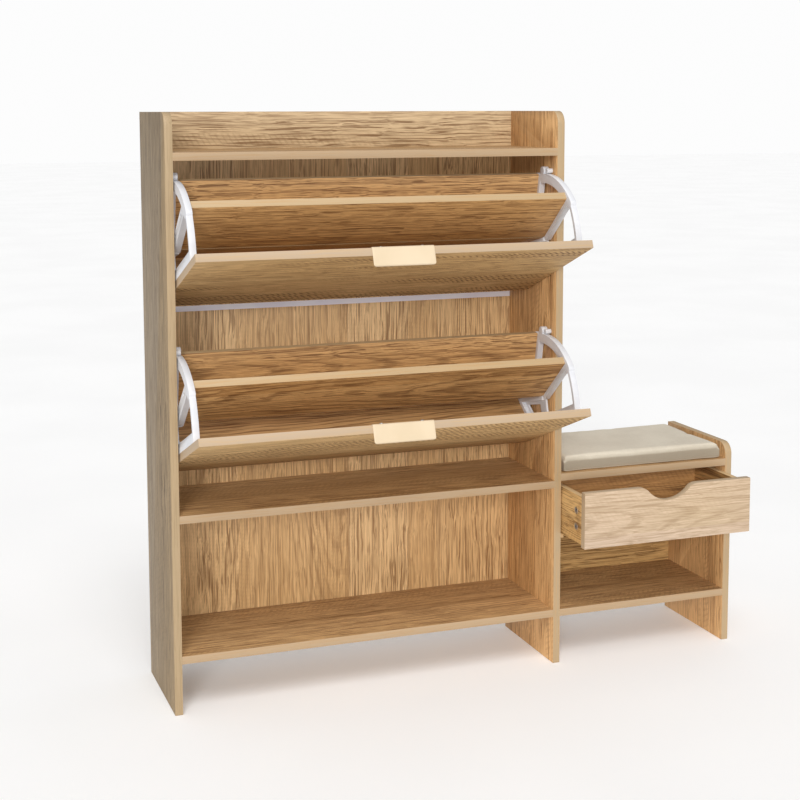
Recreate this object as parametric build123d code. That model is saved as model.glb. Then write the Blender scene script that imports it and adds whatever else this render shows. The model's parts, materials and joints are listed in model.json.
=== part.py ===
from build123d import *
import math
import os

# A shoe cabinet: a tall section with two flip-down shoe units above an open compartment, and a low
# bench with a drawer beside it. Millimetres.
#
# X runs to the right, Y from the front edges to the back, Z up from the floor. Pieces are laid out
# from the lower front left corner of the left panel, and moved at the end so that the origin is the
# bottom centre of the cabinet as it stands: both flip units tipped open, the drawer part way out.
#
# A flip unit is designed closed, with its door's lower edge at Z = 0, and is then tipped open about
# its pivot and lifted to its place. Points in its side view are (behind the door's outer face,
# above the door's lower edge), which are Y and Z.

# Overall sizes
TALL_WIDTH = 800.0
BENCH_WIDTH = 400.0
DEPTH = 240.0
BENCH_HEIGHT = 430.0

# Boards
BOARD = 15.0
THIN_BOARD = 12.0
SHEET = 3.0
CORNER_RADIUS = 25.0
GALLERY_HEIGHT = 73.0
GALLERY_SOCKET = 8.0
BOTTOM_SHELF_LEVEL = 98.0
MIDDLE_SHELF_LEVEL = 368.0
SEAT_DROP = 33.0

# Back sheets, in grooves near the boards' rear edges, and the strip that joins the two tall ones
BACK_INSET = 9.0
GROOVE_DEPTH = 5.0
GROOVE_SIDE_GAP = 0.2
SHEET_GAP = 0.1
STRIP_LEVEL = 741.0
STRIP_HEIGHT = 11.0
STRIP_WALL = 1.0

# Flip doors
DOOR_HEIGHT = 316.0
DOOR_BOARD = 15.0
DOOR_SIDE_GAP = 3.0
DOOR_FOOT_GAP = 6.0
DOOR_MIDDLE_GAP = 8.0
DOOR_TOP_GAP = 13.0
OPEN_ANGLE = 69.2
PIVOT_BACK = 31.0
PIVOT_UP = 119.0

# Moulded side frames of a flip unit
FRAME_THICK = 12.0
WEB_THICK = 4.0
WEB_RIM = 14.0
ARM_TOP_DROP = 24.0
ARM_WIDTH = 18.0
ARM_END_ANGLE = 64.0
FOOT_STRIP = 18.0
FRAME_TOP_DROP = 43.0
FRONT_BAR = 7.0
FRONT_BAR_BOW = 5.0
LEDGE = 8.0
HEAD_RADIUS = 8.5
HEAD_ANGLE = 18.0
HEAD_BACK_GAP = 14.0
BOSS_RADIUS = 9.0
TAB_LENGTH = 18.0
TAB_WIDTH = 14.0
TAB_THICK = 3.0

# Boards between the side frames
DIVIDER_BACK = 73.3
DIVIDER_UP = 140.4
DIVIDER_LEAN = 18.8
DIVIDER_RIM_GAP = 7.4
FLOOR_GAP = 6.8
FLOOR_SETBACK = 0.5
FLOOR_LEAN = 8.05
FLOOR_LENGTH = 120.0
TOE_ANGLE = 35.1
WALL_ALONG_FLOOR = 46.0
WALL_TOP_OFFSET = 5.0

# Pivots and stops
PIN_RADIUS = 4.0
PIN_RUN_GAP = 0.05
PIN_FLANGE_RADIUS = 7.0
PIN_FLANGE_GAP = 0.5
PIN_REACH = 9.0
PEG_RADIUS = 5.0
PEG_SPIGOT_RADIUS = 3.5
PEG_ARM_GAP = 1.0
STOP_GAP = 0.3
SOCKET_DEPTH = 10.0

# Door pulls
PULL_WIDTH = 120.0
PULL_THICK = 1.8
PULL_REACH = 20.0
PULL_LEG = 16.0
PULL_CORNER = 6.0
PULL_LIP = 3.0
PULL_SCREW_SPACING = 80.0

# Drawer
DRAWER_HEIGHT = 113.0
DRAWER_SIDE_GAP = 3.0
DRAWER_TOP_GAP = 3.0
DRAWER_BACK_GAP = 18.0
DRAWER_FOOT = 5.0
DRAWER_RIM_DROP = 10.0
DRAWER_OUT = 101.0
DRAWER_RUN_GAP = 0.3
DRAWER_BOTTOM_UP = 8.0
SCOOP_WIDTH = 130.0
SCOOP_DEPTH = 29.0
SCOOP_ROUND = 25.0
RUNNER_HEIGHT = 13.0
RUNNER_SETBACK = 2.0

# Seat cushion
CUSHION_THICK = 30.0
CUSHION_SIDE_GAP = 1.5
CUSHION_BACK_GAP = 2.0
CUSHION_ROUND = 12.0

# Fasteners
HOLE_GAP = 0.1
CAM_RADIUS = 7.5
CAM_HEIGHT = 12.0
CAM_BACK = 24.0
CAM_FLOOR = 1.0
BOLT_RADIUS = 3.0
BOLT_NECK_RADIUS = 2.0
BOLT_HEAD = 4.0
BOLT_NECK = 4.0
BOLT_BORE_RADIUS = 3.5
DOWEL_RADIUS = 4.0
DOWEL_IN_BOARD = 20.0
TALL_BOLT_SETBACK = 40.0
BENCH_BOLT_SETBACK = 62.0
DOWEL_OFFSET = 10.0
THIRDS = (1 / 3, 2 / 3)
SCREW_RADIUS = 1.75
SCREW_HEAD_RADIUS = 3.5
SCREW_HEAD = 2.2
SCREW_LENGTH = 30.0
SHORT_SCREW_LENGTH = 12.0
SCREW_SINK = 2.6
DIVIDER_SCREW_SHARES = (0.25, 0.75)
RUNNER_SCREW_SHARES = (0.2, 0.8)

# Worked out from the sizes above
TOTAL_WIDTH = TALL_WIDTH + BENCH_WIDTH
DOOR_PITCH = DOOR_HEIGHT + DOOR_MIDDLE_GAP
MIDDLE_SHELF_TOP = MIDDLE_SHELF_LEVEL + BOARD
LOWER_UNIT_BASE = MIDDLE_SHELF_TOP + DOOR_FOOT_GAP
UPPER_UNIT_BASE = LOWER_UNIT_BASE + DOOR_PITCH
TOP_BOARD_LEVEL = UPPER_UNIT_BASE + DOOR_HEIGHT + DOOR_TOP_GAP
TALL_HEIGHT = TOP_BOARD_LEVEL + BOARD + GALLERY_HEIGHT
SEAT_LEVEL = BENCH_HEIGHT - SEAT_DROP - BOARD
TALL_LEFT = BOARD
TALL_RIGHT = TALL_WIDTH - BOARD
BENCH_LEFT = TALL_WIDTH
BENCH_RIGHT = TOTAL_WIDTH - BOARD
BACK_FACE = DEPTH - BACK_INSET - SHEET
FRAME_LEFT = TALL_LEFT + DOOR_SIDE_GAP
FRAME_RIGHT = TALL_RIGHT - DOOR_SIDE_GAP
INNER_LEFT = FRAME_LEFT + FRAME_THICK
INNER_RIGHT = FRAME_RIGHT - FRAME_THICK
HEAD_REACH = BACK_FACE - HEAD_BACK_GAP - HEAD_RADIUS - PIVOT_BACK
STOP_RADIUS_IN_DEPTH = HEAD_REACH / math.cos(math.radians(HEAD_ANGLE))
STOP_RADIUS_IN_HEIGHT = DOOR_HEIGHT - ARM_TOP_DROP - PIVOT_UP + PEG_ARM_GAP + PEG_RADIUS
STOP_RADIUS = min(STOP_RADIUS_IN_DEPTH, STOP_RADIUS_IN_HEIGHT)
ARM_RADIUS = STOP_RADIUS - PEG_RADIUS - PEG_ARM_GAP
DRAWER_TOP = SEAT_LEVEL - DRAWER_TOP_GAP
DRAWER_BASE = DRAWER_TOP - DRAWER_HEIGHT
DRAWER_BOX_BASE = DRAWER_BASE + DRAWER_FOOT
DRAWER_BOX_TOP = DRAWER_TOP - DRAWER_RIM_DROP
DRAWER_LEFT = BENCH_LEFT + DRAWER_SIDE_GAP
DRAWER_RIGHT = BENCH_RIGHT - DRAWER_SIDE_GAP
DRAWER_REAR = BACK_FACE - DRAWER_BACK_GAP
RUNNER_TOP = DRAWER_BOX_BASE - DRAWER_RUN_GAP
TALL_BOLTS = (TALL_BOLT_SETBACK, DEPTH - TALL_BOLT_SETBACK)
BENCH_BOLTS = (BENCH_BOLT_SETBACK, DEPTH - BENCH_BOLT_SETBACK)
TALL_DOWEL = DEPTH / 2 - DOWEL_OFFSET
BENCH_DOWEL = DEPTH / 2 + DOWEL_OFFSET


# ---------------------------------------------------------------- plain shapes

def block(x0, x1, y0, y1, z0, z1):
    corner = (Align.MIN, Align.MIN, Align.MIN)
    return Pos(x0, y0, z0) * Box(x1 - x0, y1 - y0, z1 - z0, align=corner)


def rod_x(start, end, y, z, radius):
    return Pos((start + end) / 2, y, z) * Rot(0, 90, 0) * Cylinder(radius, abs(end - start))


def rod_y(x, start, end, z, radius):
    return Pos(x, (start + end) / 2, z) * Rot(90, 0, 0) * Cylinder(radius, abs(end - start))


def rod_z(x, y, start, end, radius):
    return Pos(x, y, (start + end) / 2) * Cylinder(radius, abs(end - start))


def side_plate(x0, x1, outline):
    """A plate between two X places, from a face or sketch drawn in the side view."""
    return extrude(Plane.YZ.offset(x0) * outline, x1 - x0)


def outline(*points):
    return make_face(Polyline(*points, close=True).edges())


def mirrored(shape):
    """The same piece on the tall section's other side."""
    return mirror(shape, about=Plane.YZ.offset(TALL_WIDTH / 2))


def joined(shapes):
    whole = shapes[0]
    for shape in shapes[1:]:
        whole = whole + shape
    return whole


def cut(shape, tools):
    for tool in tools:
        shape = shape - tool
    return shape


# ---------------------------------------------------------------- side view of a flip unit

def polar(radius, degrees):
    """The point at a radius and an angle about the pivot."""
    angle = math.radians(degrees)
    return (PIVOT_BACK + radius * math.cos(angle), PIVOT_UP + radius * math.sin(angle))


def reach(start, heading, radius):
    """How far a line from a point, at a heading, runs to a circle about the pivot."""
    offset_y = start[0] - PIVOT_BACK
    offset_z = start[1] - PIVOT_UP
    along = offset_y * heading[0] + offset_z * heading[1]
    square = along * along - (offset_y * offset_y + offset_z * offset_z - radius * radius)
    return math.sqrt(square) - along


def moved(point, heading, distance):
    return (point[0] + heading[0] * distance, point[1] + heading[1] * distance)


def right_of(heading):
    return (heading[1], -heading[0])


def heading_of(start, end):
    length = math.dist(start, end)
    return ((end[0] - start[0]) / length, (end[1] - start[1]) / length)


def band(start, end, left, right):
    """A straight band along a line, from a distance on its left to a distance on its right."""
    side = right_of(heading_of(start, end))
    return outline(
        moved(start, side, -left), moved(end, side, -left),
        moved(end, side, right), moved(start, side, right),
    )


# The front divider's front face, from its foot to the rim of the side frames.
divider_heading = (math.sin(math.radians(DIVIDER_LEAN)), math.cos(math.radians(DIVIDER_LEAN)))
DIVIDER_FOOT = (DIVIDER_BACK, DIVIDER_UP)
DIVIDER_TOP = moved(
    DIVIDER_FOOT, divider_heading, reach(DIVIDER_FOOT, divider_heading, ARM_RADIUS - DIVIDER_RIM_GAP)
)

# The rear floor's lower face, from its rear end to just under the divider.
FLOOR_FRONT = (DIVIDER_BACK + FLOOR_SETBACK, DIVIDER_UP - FLOOR_GAP)
floor_heading = (-math.sin(math.radians(FLOOR_LEAN)), math.cos(math.radians(FLOOR_LEAN)))
FLOOR_REAR = moved(FLOOR_FRONT, floor_heading, -FLOOR_LENGTH)

# The toe board's inner face, from the door to the rear floor.
toe_run = FLOOR_REAR[0] - DOOR_BOARD
TOE_DOOR = (DOOR_BOARD, FLOOR_REAR[1] + toe_run * math.tan(math.radians(TOE_ANGLE)))

# The rear wall's front face, from the rear floor to just below the stop heads.
WALL_FOOT = moved(
    moved(FLOOR_FRONT, floor_heading, -WALL_ALONG_FLOOR), right_of(floor_heading), THIN_BOARD
)
WALL_TOP = polar(ARM_RADIUS, HEAD_ANGLE - WALL_TOP_OFFSET)

# A peg holds each stop head when the unit is open.
contact_angle = 2 * math.degrees(math.asin((HEAD_RADIUS + PEG_RADIUS + STOP_GAP) / 2 / STOP_RADIUS))
PEG_POINT = polar(STOP_RADIUS, HEAD_ANGLE + OPEN_ANGLE + contact_angle)

# The frames' upper ends, which pass below the pegs when the unit is closed.
FRAME_TOP = min(DOOR_HEIGHT - FRAME_TOP_DROP, PEG_POINT[1] - PEG_RADIUS - PEG_ARM_GAP)

DIVIDER_LINES = {
    "front_divider": (DIVIDER_FOOT, DIVIDER_TOP, BOARD),
    "rear_floor": (FLOOR_REAR, FLOOR_FRONT, THIN_BOARD),
    "rear_wall": (WALL_FOOT, WALL_TOP, THIN_BOARD),
    "toe_board": (TOE_DOOR, FLOOR_REAR, THIN_BOARD),
}


# ---------------------------------------------------------------- fasteners

def screw(start, heading, length):
    """A pan head screw whose head rests on the surface at start, along +X or +Y or the other way."""
    x, y, z = start
    if heading[0]:
        side = heading[0]
        return rod_x(x - side * SCREW_HEAD, x, y, z, SCREW_HEAD_RADIUS) + rod_x(
            x, x + side * length, y, z, SCREW_RADIUS
        )
    side = heading[1]
    return rod_y(x, y - side * SCREW_HEAD, y, z, SCREW_HEAD_RADIUS) + rod_y(
        x, y, y + side * length, z, SCREW_RADIUS
    )


def screw_hole(start, heading, length):
    """The hole for a screw, open above its head so that the head can be sunk."""
    x, y, z = start
    if heading[0]:
        side = heading[0]
        return rod_x(x - side * BOARD, x, y, z, SCREW_HEAD_RADIUS + HOLE_GAP) + rod_x(
            x, x + side * (length + HOLE_GAP), y, z, SCREW_RADIUS + HOLE_GAP
        )
    side = heading[1]
    return rod_y(x, y - side * BOARD, y, z, SCREW_HEAD_RADIUS + HOLE_GAP) + rod_y(
        x, y, y + side * (length + HOLE_GAP), z, SCREW_RADIUS + HOLE_GAP
    )


def cam_bolt(x, side, y, z):
    """A bolt screwed into a panel at the board end at x; the board lies on the given side."""
    neck = x + side * (CAM_BACK - BOLT_HEAD - BOLT_NECK)
    head = x + side * (CAM_BACK - BOLT_HEAD)
    return joined([
        rod_x(x - side * SOCKET_DEPTH, neck, y, z, BOLT_RADIUS),
        rod_x(neck, head, y, z, BOLT_NECK_RADIUS),
        rod_x(head, x + side * CAM_BACK, y, z, BOLT_RADIUS),
    ])


def cam_bolt_hole(x, side, y, z):
    return rod_x(x - side * SOCKET_DEPTH, x, y, z, BOLT_RADIUS + HOLE_GAP) + rod_x(
        x, x + side * CAM_BACK, y, z, BOLT_BORE_RADIUS
    )


def cam_lock(x, side, y, z):
    """The disc under a board that draws the bolt's head in."""
    centre = x + side * CAM_BACK
    top = z + CAM_HEIGHT / 2
    slot_x = sorted((centre - side * CAM_RADIUS, centre + side * BOLT_HEAD / 2))
    slot = block(
        *slot_x, y - BOLT_BORE_RADIUS, y + BOLT_BORE_RADIUS, z - BOLT_BORE_RADIUS, z + BOLT_BORE_RADIUS
    )
    return rod_z(centre, y, top - CAM_HEIGHT, top, CAM_RADIUS - HOLE_GAP) - slot


def cam_lock_hole(x, side, y, z):
    return rod_z(x + side * CAM_BACK, y, z - BOARD, z + CAM_HEIGHT / 2, CAM_RADIUS)


def dowel(x, side, y, z):
    return rod_x(x - side * SOCKET_DEPTH, x + side * DOWEL_IN_BOARD, y, z, DOWEL_RADIUS)


def dowel_hole(x, side, y, z):
    return rod_x(x - side * SOCKET_DEPTH, x + side * DOWEL_IN_BOARD, y, z, DOWEL_RADIUS + HOLE_GAP)


# ---------------------------------------------------------------- fixed boards

# Each board between two panels: its ends, its underside, its depth, its bolts and its dowel.
BOARDS = {
    "top_board": (TALL_LEFT, TALL_RIGHT, TOP_BOARD_LEVEL, DEPTH, TALL_BOLTS, TALL_DOWEL),
    "middle_shelf": (TALL_LEFT, TALL_RIGHT, MIDDLE_SHELF_LEVEL, BACK_FACE, TALL_BOLTS, TALL_DOWEL),
    "bottom_shelf": (TALL_LEFT, TALL_RIGHT, BOTTOM_SHELF_LEVEL, DEPTH, TALL_BOLTS, TALL_DOWEL),
    "bench_seat_board": (BENCH_LEFT, BENCH_RIGHT, SEAT_LEVEL, DEPTH, BENCH_BOLTS, BENCH_DOWEL),
    "bench_shelf": (BENCH_LEFT, BENCH_RIGHT, BOTTOM_SHELF_LEVEL, DEPTH, BENCH_BOLTS, BENCH_DOWEL),
}


def board_ends():
    """Every joint of a board's end with a panel, as (X, side, Y of bolts, Y of dowel, Z)."""
    ends = []
    for left, right, level, _, bolts, dowel_y in BOARDS.values():
        for x, side in ((left, 1), (right, -1)):
            ends.append((x, side, bolts, dowel_y, level + BOARD / 2))
    return ends


def gallery_dowels():
    """The gallery's dowels: one in each end, and two upright ones in the top board."""
    middle_y = DEPTH - BOARD / 2
    middle_z = TALL_HEIGHT - GALLERY_HEIGHT / 2
    ends = [(TALL_LEFT, 1, middle_y, middle_z), (TALL_RIGHT, -1, middle_y, middle_z)]
    upright_x = [TALL_WIDTH * share for share in THIRDS]
    return ends, upright_x


def upright_dowel(x, extra):
    foot = TALL_HEIGHT - GALLERY_HEIGHT
    return rod_z(x, DEPTH - BOARD / 2, foot - GALLERY_SOCKET, foot + DOWEL_IN_BOARD, DOWEL_RADIUS + extra)


def make_fixings():
    bolts, cams, dowels, holes = [], [], [], []
    for x, side, bolt_places, dowel_y, z in board_ends():
        for y in bolt_places:
            bolts.append(cam_bolt(x, side, y, z))
            cams.append(cam_lock(x, side, y, z))
            holes.append(cam_bolt_hole(x, side, y, z))
            holes.append(cam_lock_hole(x, side, y, z))
        dowels.append(dowel(x, side, dowel_y, z))
        holes.append(dowel_hole(x, side, dowel_y, z))
    ends, upright_x = gallery_dowels()
    for place in ends:
        dowels.append(dowel(*place))
        holes.append(dowel_hole(*place))
    for x in upright_x:
        dowels.append(upright_dowel(x, 0))
        holes.append(upright_dowel(x, HOLE_GAP))
    return Compound(children=bolts), Compound(children=cams), Compound(children=dowels), holes


def back_groove(x0, x1, z0, z1):
    return block(x0, x1, BACK_FACE - SHEET_GAP, BACK_FACE + SHEET + SHEET_GAP, z0, z1)


def tall_grooves():
    return back_groove(
        TALL_LEFT - GROOVE_DEPTH, TALL_RIGHT + GROOVE_DEPTH,
        BOTTOM_SHELF_LEVEL + BOARD - GROOVE_DEPTH, TOP_BOARD_LEVEL + GROOVE_DEPTH,
    )


def bench_grooves():
    return back_groove(
        BENCH_LEFT - GROOVE_DEPTH, BENCH_RIGHT + GROOVE_DEPTH,
        BOTTOM_SHELF_LEVEL + BOARD - GROOVE_DEPTH, SEAT_LEVEL + GROOVE_DEPTH,
    )


def side_panel(x, height):
    panel = block(x, x + BOARD, 0, DEPTH, 0, height)
    front_top = panel.edges().filter_by(Axis.X).sort_by(lambda e: e.center().Z - e.center().Y)[-1]
    return fillet(front_top, CORNER_RADIUS)


def boxes_meet(one, other):
    """Whether two boxes share some space."""
    low = [max(one.min.X, other.min.X), max(one.min.Y, other.min.Y), max(one.min.Z, other.min.Z)]
    high = [min(one.max.X, other.max.X), min(one.max.Y, other.max.Y), min(one.max.Z, other.max.Z)]
    return all(below < above for below, above in zip(low, high))


def overlapping(shape, tools):
    """The tools that reach a shape's box, so that a piece is cut only by those that matter."""
    box = shape.bounding_box()
    return [tool for tool in tools if boxes_meet(box, tool.bounding_box())]


def make_panels(holes):
    panels = {
        "left_side_panel": side_panel(0, TALL_HEIGHT),
        "middle_side_panel": side_panel(TALL_RIGHT, TALL_HEIGHT),
        "right_side_panel": side_panel(BENCH_RIGHT, BENCH_HEIGHT),
    }
    return {name: cut(panel, overlapping(panel, holes)) for name, panel in panels.items()}


def make_boards(holes):
    boards = {}
    for name, (left, right, level, depth, _, _) in BOARDS.items():
        boards[name] = block(left, right, 0, depth, level, level + BOARD)
    boards["gallery_board"] = block(
        TALL_LEFT, TALL_RIGHT, DEPTH - BOARD, DEPTH, TALL_HEIGHT - GALLERY_HEIGHT, TALL_HEIGHT
    )
    return {name: cut(board, overlapping(board, holes)) for name, board in boards.items()}


def make_back():
    """Two sheets behind the tall section, joined by a moulded strip, and one behind the bench."""
    left = TALL_LEFT - GROOVE_DEPTH + GROOVE_SIDE_GAP
    right = TALL_RIGHT + GROOVE_DEPTH - GROOVE_SIDE_GAP
    foot = BOTTOM_SHELF_LEVEL + BOARD - GROOVE_DEPTH
    rear = BACK_FACE + SHEET
    half_web = STRIP_WALL / 2
    strip = block(
        TALL_LEFT, TALL_RIGHT, BACK_FACE - SHEET_GAP - STRIP_WALL, rear + SHEET_GAP + STRIP_WALL,
        STRIP_LEVEL - STRIP_HEIGHT / 2, STRIP_LEVEL + STRIP_HEIGHT / 2,
    )
    slots = [
        back_groove(TALL_LEFT, TALL_RIGHT, STRIP_LEVEL + half_web, STRIP_LEVEL + STRIP_HEIGHT),
        back_groove(TALL_LEFT, TALL_RIGHT, STRIP_LEVEL - STRIP_HEIGHT, STRIP_LEVEL - half_web),
    ]
    return {
        "back_panel_upper": block(
            left, right, BACK_FACE, rear,
            STRIP_LEVEL + half_web, TOP_BOARD_LEVEL + GROOVE_DEPTH - GROOVE_SIDE_GAP,
        ),
        "back_panel_lower": block(left, right, BACK_FACE, rear, foot, STRIP_LEVEL - half_web),
        "back_joint_strip": cut(strip, slots),
        "bench_back_panel": block(
            BENCH_LEFT - GROOVE_DEPTH + GROOVE_SIDE_GAP, BENCH_RIGHT + GROOVE_DEPTH - GROOVE_SIDE_GAP,
            BACK_FACE, rear, foot, SEAT_LEVEL + GROOVE_DEPTH - GROOVE_SIDE_GAP,
        ),
    }


# ---------------------------------------------------------------- pivots and stops

def pivot_pin(base):
    pin = rod_x(TALL_LEFT - SOCKET_DEPTH, FRAME_LEFT + PIN_REACH, PIVOT_BACK, base + PIVOT_UP, PIN_RADIUS)
    flange = rod_x(TALL_LEFT, FRAME_LEFT - PIN_FLANGE_GAP, PIVOT_BACK, base + PIVOT_UP, PIN_FLANGE_RADIUS)
    return pin + flange


def stop_peg(base):
    y = PEG_POINT[0]
    z = base + PEG_POINT[1]
    spigot = rod_x(TALL_LEFT - SOCKET_DEPTH, TALL_LEFT, y, z, PEG_SPIGOT_RADIUS)
    return spigot + rod_x(TALL_LEFT, FRAME_LEFT + PIN_REACH, y, z, PEG_RADIUS)


def make_pivots():
    pins, pegs, holes = [], [], []
    for base in (LOWER_UNIT_BASE, UPPER_UNIT_BASE):
        pins.append(pivot_pin(base))
        pegs.append(stop_peg(base))
        pivot = (PIVOT_BACK, base + PIVOT_UP, PIN_RADIUS)
        peg = (PEG_POINT[0], base + PEG_POINT[1], PEG_SPIGOT_RADIUS)
        for y, z, radius in (pivot, peg):
            holes.append(rod_x(TALL_LEFT - SOCKET_DEPTH, TALL_LEFT, y, z, radius + HOLE_GAP))
    pins += [mirrored(pin) for pin in pins]
    pegs += [mirrored(peg) for peg in pegs]
    holes += [mirrored(hole) for hole in holes]
    return Compound(children=pins), Compound(children=pegs), holes


# ---------------------------------------------------------------- flip unit

def make_door():
    return block(FRAME_LEFT, FRAME_RIGHT, 0, DOOR_BOARD, 0, DOOR_HEIGHT)


def make_pull():
    """A bent plate on the door's top edge, with a lip in front and a leg behind the door."""
    left = TALL_WIDTH / 2 - PULL_WIDTH / 2
    right = left + PULL_WIDTH
    rear = DOOR_BOARD + PULL_THICK
    plate = block(left, right, -PULL_REACH, rear, DOOR_HEIGHT, DOOR_HEIGHT + PULL_THICK)
    corners = plate.edges().filter_by(Axis.Z).group_by(Axis.Y)[0]
    plate = fillet(corners, PULL_CORNER)
    lip = block(
        left + PULL_CORNER, right - PULL_CORNER, -PULL_REACH, -PULL_REACH + PULL_THICK,
        DOOR_HEIGHT - PULL_LIP, DOOR_HEIGHT,
    )
    leg = block(left, right, DOOR_BOARD, rear, DOOR_HEIGHT - PULL_LEG, DOOR_HEIGHT)
    return plate + lip + leg


def pull_screw_places():
    z = DOOR_HEIGHT - PULL_LEG / 2
    y = DOOR_BOARD + PULL_THICK
    return [(TALL_WIDTH / 2 + side * PULL_SCREW_SPACING / 2, y, z) for side in (-1, 1)]


def tab_heights():
    return [TOE_DOOR[1] + TAB_WIDTH, (TOE_DOOR[1] + FRAME_TOP) / 2, FRAME_TOP - TAB_WIDTH / 2]


def door_screw_places():
    places = []
    for z in tab_heights():
        for x in (INNER_LEFT + TAB_LENGTH / 2, INNER_RIGHT - TAB_LENGTH / 2):
            places.append((x, DOOR_BOARD + TAB_THICK, z))
    return places


def divider_screw_places():
    """Each divider is held by two screws through each side frame, as (Y, Z) at the frame."""
    places = []
    for start, end, thick in DIVIDER_LINES.values():
        heading = heading_of(start, end)
        middle_start = moved(start, right_of(heading), thick / 2)
        for share in DIVIDER_SCREW_SHARES:
            places.append(moved(middle_start, heading, math.dist(start, end) * share))
    return places


def frame_outline():
    """The frame's full-thickness bars in side view."""
    foot = DOOR_BOARD
    top = FRAME_TOP
    arm_middle = ARM_RADIUS - ARM_WIDTH / 2
    arm = trace(
        CenterArc((PIVOT_BACK, PIVOT_UP), arm_middle, HEAD_ANGLE, ARM_END_ANGLE - HEAD_ANGLE),
        line_width=ARM_WIDTH,
    )
    arm_end = polar(arm_middle, ARM_END_ANGLE)
    bar_start = (foot, top - FRONT_BAR / 2)
    bar_end = moved(arm_end, (0, 1), ARM_WIDTH / 2 - FRONT_BAR)
    bar_middle = ((bar_start[0] + bar_end[0]) / 2, (bar_start[1] + bar_end[1]) / 2 + FRONT_BAR_BOW)
    bars = [
        outline(
            (foot, TOE_DOOR[1]), (foot + FOOT_STRIP, TOE_DOOR[1]), (foot + FOOT_STRIP, top), (foot, top)
        ),
        trace(ThreePointArc(bar_start, bar_middle, bar_end), line_width=FRONT_BAR),
        Pos(*arm_end) * Circle(ARM_WIDTH / 2),
        Pos(*polar(STOP_RADIUS, HEAD_ANGLE)) * Circle(HEAD_RADIUS),
        Pos(*polar(arm_middle, HEAD_ANGLE)) * Circle(ARM_WIDTH / 2),
        Pos(PIVOT_BACK, PIVOT_UP) * Circle(BOSS_RADIUS),
    ]
    for start, end, thick in DIVIDER_LINES.values():
        bars.append(band(start, end, LEDGE, thick))
    shape = arm
    for bar in bars:
        shape = shape + bar
    keep = outline((foot, 0), (foot, DOOR_HEIGHT), (BACK_FACE, DOOR_HEIGHT), (BACK_FACE, 0))
    return shape & keep


def frame_web():
    """The thin plate that closes the frame beside the pivot, with a four-sided window below it."""
    plate = outline(TOE_DOOR, FLOOR_REAR, FLOOR_FRONT, (DOOR_BOARD, PIVOT_UP + BOSS_RADIUS))
    below_pivot = outline(TOE_DOOR, FLOOR_REAR, (FLOOR_FRONT[0], PIVOT_UP), (DOOR_BOARD, PIVOT_UP))
    return plate - offset(below_pivot, amount=-WEB_RIM, kind=Kind.INTERSECTION)


def make_left_frame():
    frame = side_plate(FRAME_LEFT, INNER_LEFT, frame_outline())
    frame = frame + side_plate(FRAME_LEFT, FRAME_LEFT + WEB_THICK, frame_web())
    for z in tab_heights():
        frame = frame + block(
            INNER_LEFT, INNER_LEFT + TAB_LENGTH, DOOR_BOARD, DOOR_BOARD + TAB_THICK,
            z - TAB_WIDTH / 2, z + TAB_WIDTH / 2,
        )
    tools = [rod_x(FRAME_LEFT, INNER_LEFT, PIVOT_BACK, PIVOT_UP, PIN_RADIUS + PIN_RUN_GAP)]
    for y, z in divider_screw_places():
        tools.append(screw_hole((FRAME_LEFT + SCREW_SINK, y, z), (1, 0), SCREW_LENGTH))
    tools += [screw_hole(place, (0, -1), SHORT_SCREW_LENGTH) for place in door_screw_places()]
    return cut(frame, overlapping(frame, tools))


def make_divider(line):
    """A board between the frames, bevelled where it meets the door."""
    start, end, thick = line
    return side_plate(INNER_LEFT, INNER_RIGHT, band(start, end, 0, thick)) - make_door()


def make_flip_unit():
    """All pieces of one unit, closed, with the door's lower edge at Z = 0."""
    door = make_door()
    pull = make_pull()
    left_frame = make_left_frame()
    frame_screws, screw_tools = [], []
    for y, z in divider_screw_places():
        for x, side in ((FRAME_LEFT + SCREW_SINK, 1), (FRAME_RIGHT - SCREW_SINK, -1)):
            frame_screws.append(screw((x, y, z), (side, 0), SCREW_LENGTH))
            screw_tools.append(screw_hole((x, y, z), (side, 0), SCREW_LENGTH))
    door_screws = [screw(place, (0, -1), SHORT_SCREW_LENGTH) for place in door_screw_places()]
    pull_screws = [screw(place, (0, -1), SHORT_SCREW_LENGTH) for place in pull_screw_places()]
    door_tools = [screw_hole(place, (0, -1), SHORT_SCREW_LENGTH) for place in door_screw_places()]
    pull_tools = [screw_hole(place, (0, -1), SHORT_SCREW_LENGTH) for place in pull_screw_places()]
    unit = {
        "door": cut(door, door_tools + pull_tools),
        "pull": cut(pull, pull_tools),
        "pull_screws": Compound(children=pull_screws),
        "left_frame": left_frame,
        "right_frame": mirrored(left_frame),
        "frame_screws": Compound(children=frame_screws),
        "door_screws": Compound(children=door_screws),
    }
    for name, line in DIVIDER_LINES.items():
        divider = make_divider(line)
        unit[name] = cut(divider, overlapping(divider, screw_tools))
    return unit


def tipped_open(shape, base):
    """A closed unit's piece, tipped open about the pivot and lifted to its place."""
    pivot = Axis((0, PIVOT_BACK, PIVOT_UP), (1, 0, 0))
    return Pos(0, 0, base) * shape.rotate(pivot, OPEN_ANGLE)


# ---------------------------------------------------------------- bench

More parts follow.
